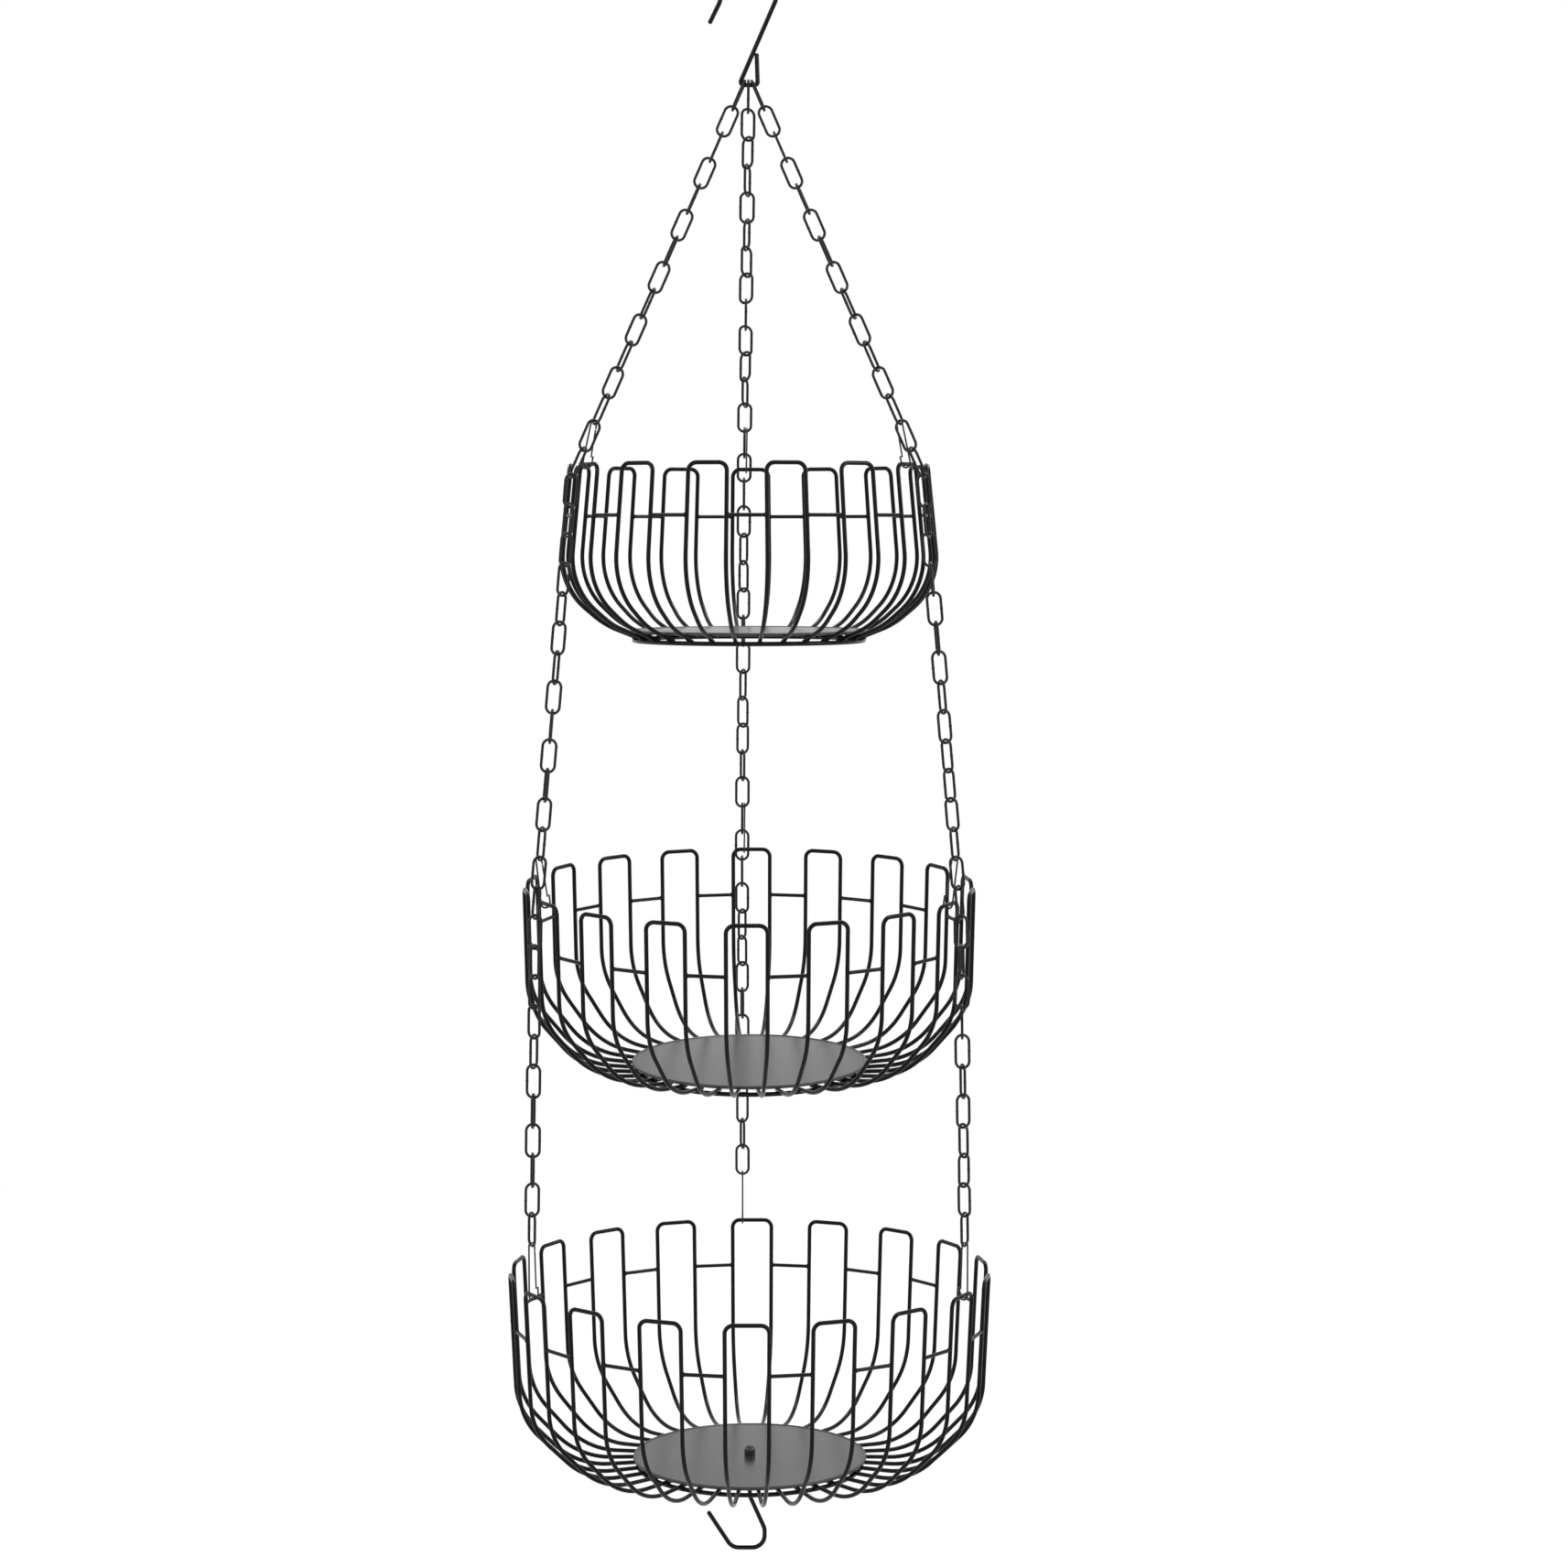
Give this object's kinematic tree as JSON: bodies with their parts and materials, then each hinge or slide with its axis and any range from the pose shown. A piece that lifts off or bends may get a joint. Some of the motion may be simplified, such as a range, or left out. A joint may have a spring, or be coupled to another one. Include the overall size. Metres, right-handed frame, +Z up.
{
  "type": "hanging fruit basket",
  "caption": "Tiered hanging basket of bent black wire on chains, with snap clips, round floors, a hook to hang it by and a hook below.",
  "frame": {"origin": "inside crest of the top hook, where it rests on whatever it hangs from", "axes": "+Z up along the hanging axis, -Y to the front between the two front chains, the back chain at +Y, +X to the right"},
  "size_m": [0.307, 0.3121, 1.0062],
  "materials": {
    "wire": "semi-gloss black coating",
    "chain": "semi-gloss black coating",
    "clip": "semi-gloss black spring wire",
    "floor_plate": "semi-gloss black coating on pressed sheet",
    "nut": "gloss black"
  },
  "bodies": {
    "hook": {"top_hook": "wire"},
    "top_tier": {"upper_chain_left": "chain", "upper_chain_right": "chain", "upper_chain_back": "chain", "top_clip_left": "clip", "top_clip_right": "clip", "top_clip_back": "clip", "top_petals_left": "wire", "top_petals_right": "wire", "top_petals_back": "wire", "top_ties": "wire", "top_ring": "wire", "top_plate": "floor_plate"},
    "middle_run_left": {"middle_chain_left": "chain"},
    "middle_run_right": {"middle_chain_right": "chain"},
    "middle_run_back": {"middle_chain_back": "chain"},
    "middle_tier": {"middle_chain_ends": "chain", "middle_clip_left": "clip", "middle_clip_right": "clip", "middle_clip_back": "clip", "middle_petals_left": "wire", "middle_petals_right": "wire", "middle_petals_back": "wire", "middle_ties": "wire", "middle_ring": "wire", "middle_plate": "floor_plate"},
    "lower_run_left": {"lower_chain_left": "chain"},
    "lower_run_right": {"lower_chain_right": "chain"},
    "lower_run_back": {"lower_chain_back": "chain"},
    "bottom_tier": {"bottom_clip_left": "clip", "bottom_clip_right": "clip", "bottom_clip_back": "clip", "bottom_petals_left": "wire", "bottom_petals_right": "wire", "bottom_petals_back": "wire", "bottom_ties": "wire", "bottom_ring": "wire", "bottom_plate": "floor_plate"},
    "pendant": {"bottom_hook": "wire", "cap_nut": "nut"},
    "top_gate_left": {"top_gate_left": "clip"},
    "top_gate_right": {"top_gate_right": "clip"},
    "top_gate_back": {"top_gate_back": "clip"},
    "middle_gate_left": {"middle_gate_left": "clip"},
    "middle_gate_right": {"middle_gate_right": "clip"},
    "middle_gate_back": {"middle_gate_back": "clip"},
    "bottom_gate_left": {"bottom_gate_left": "clip"},
    "bottom_gate_right": {"bottom_gate_right": "clip"},
    "bottom_gate_back": {"bottom_gate_back": "clip"}
  },
  "joints": [
    {"name": "tower_swing", "type": "hinge", "parent": "hook", "child": "top_tier", "pos_m": [0, 0, -0.0736], "axis": [1, 0, 0], "range_deg": [-20, 20]},
    {"name": "middle_sway_back", "type": "hinge", "parent": "top_tier", "child": "middle_run_back", "pos_m": [-0.0045, 0.12298, -0.31735], "axis": [0, 1, 0], "range_deg": [-4, 4]},
    {"name": "middle_sway_left", "type": "hinge", "parent": "top_tier", "child": "middle_run_left", "pos_m": [-0.10652, -0.06149, -0.31383], "axis": [0, 1, 0], "range_deg": [-4.5, 4.5]},
    {"name": "middle_sway_right", "type": "hinge", "parent": "top_tier", "child": "middle_run_right", "pos_m": [0.10652, -0.06149, -0.31383], "axis": [0, 1, 0], "range_deg": [-4.5, 4.5]},
    {"name": "middle_level", "type": "hinge", "parent": "middle_run_back", "child": "middle_tier", "pos_m": [-0.00621, 0.14603, -0.53652], "axis": [0, 1, 0], "range_deg": [-4, 4]},
    {"name": "lower_sway_back", "type": "hinge", "parent": "middle_tier", "child": "lower_run_back", "pos_m": [-0.0065, 0.14988, -0.57305], "axis": [0, 1, 0], "range_deg": [-4, 4]},
    {"name": "lower_sway_left", "type": "hinge", "parent": "middle_tier", "child": "lower_run_left", "pos_m": [-0.1299, -0.07494, -0.58197], "axis": [0, 1, 0], "range_deg": [-4.5, 4.5]},
    {"name": "lower_sway_right", "type": "hinge", "parent": "middle_tier", "child": "lower_run_right", "pos_m": [0.1299, -0.07494, -0.58197], "axis": [0, 1, 0], "range_deg": [-4.5, 4.5]},
    {"name": "bottom_level", "type": "hinge", "parent": "lower_run_back", "child": "bottom_tier", "pos_m": [-0.0065, 0.15395, -0.791], "axis": [0, 1, 0], "range_deg": [-4, 4]},
    {"name": "pendant_turn", "type": "hinge", "parent": "bottom_tier", "child": "pendant", "pos_m": [0, -0.00319, -0.94171], "axis": [0, 0.0262, 0.9997], "continuous": true},
    {"name": "top_gate_left_hinge", "type": "hinge", "parent": "top_tier", "child": "top_gate_left", "pos_m": [-0.09271, -0.05146, -0.28595], "axis": [-0.5013, 0.8652, -0.0079], "range_deg": [0, 8], "stiffness_Nm_per_rad": 0.002},
    {"name": "top_gate_right_hinge", "type": "hinge", "parent": "top_tier", "child": "top_gate_right", "pos_m": [0.09111, -0.05424, -0.28595], "axis": [-0.5013, -0.8652, 0.0079], "range_deg": [0, 8], "stiffness_Nm_per_rad": 0.002},
    {"name": "top_gate_back_hinge", "type": "hinge", "parent": "top_tier", "child": "top_gate_back", "pos_m": [-0.00239, 0.10569, -0.28901], "axis": [0.9997, 0.0047, -0.0227], "range_deg": [0, 8], "stiffness_Nm_per_rad": 0.002},
    {"name": "middle_gate_left_hinge", "type": "hinge", "parent": "middle_tier", "child": "middle_gate_left", "pos_m": [-0.1256, -0.07061, -0.55001], "axis": [-0.5, 0.866, 0.0002], "range_deg": [0, 8], "stiffness_Nm_per_rad": 0.002},
    {"name": "middle_gate_right_hinge", "type": "hinge", "parent": "middle_tier", "child": "middle_gate_right", "pos_m": [0.124, -0.07338, -0.55001], "axis": [-0.5, -0.866, -0.0002], "range_deg": [0, 8], "stiffness_Nm_per_rad": 0.002},
    {"name": "middle_gate_back_hinge", "type": "hinge", "parent": "middle_tier", "child": "middle_gate_back", "pos_m": [-0.00465, 0.14378, -0.54034], "axis": [1, -0.0014, -0.0095], "range_deg": [0, 8], "stiffness_Nm_per_rad": 0.002},
    {"name": "bottom_gate_left_hinge", "type": "hinge", "parent": "bottom_tier", "child": "bottom_gate_left", "pos_m": [-0.13169, -0.07601, -0.78939], "axis": [-0.5, 0.866, 0], "range_deg": [0, 8], "stiffness_Nm_per_rad": 0.002},
    {"name": "bottom_gate_right_hinge", "type": "hinge", "parent": "bottom_tier", "child": "bottom_gate_right", "pos_m": [0.13169, -0.07601, -0.78939], "axis": [-0.5, -0.866, 0], "range_deg": [0, 8], "stiffness_Nm_per_rad": 0.002},
    {"name": "bottom_gate_back_hinge", "type": "hinge", "parent": "bottom_tier", "child": "bottom_gate_back", "pos_m": [-0.0065, 0.15201, -0.79539], "axis": [1, 0, 0], "range_deg": [0, 8], "stiffness_Nm_per_rad": 0.002}
  ],
  "couplings": [
    {"joint": "middle_sway_left", "follows": "middle_sway_back", "ratio": 0.9431},
    {"joint": "middle_sway_right", "follows": "middle_sway_back", "ratio": 0.9431},
    {"joint": "middle_level", "follows": "middle_sway_back", "ratio": -0.8419},
    {"joint": "lower_sway_left", "follows": "lower_sway_back", "ratio": 1.0735},
    {"joint": "lower_sway_right", "follows": "lower_sway_back", "ratio": 1.0735},
    {"joint": "bottom_level", "follows": "lower_sway_back", "ratio": -0.9736}
  ]
}
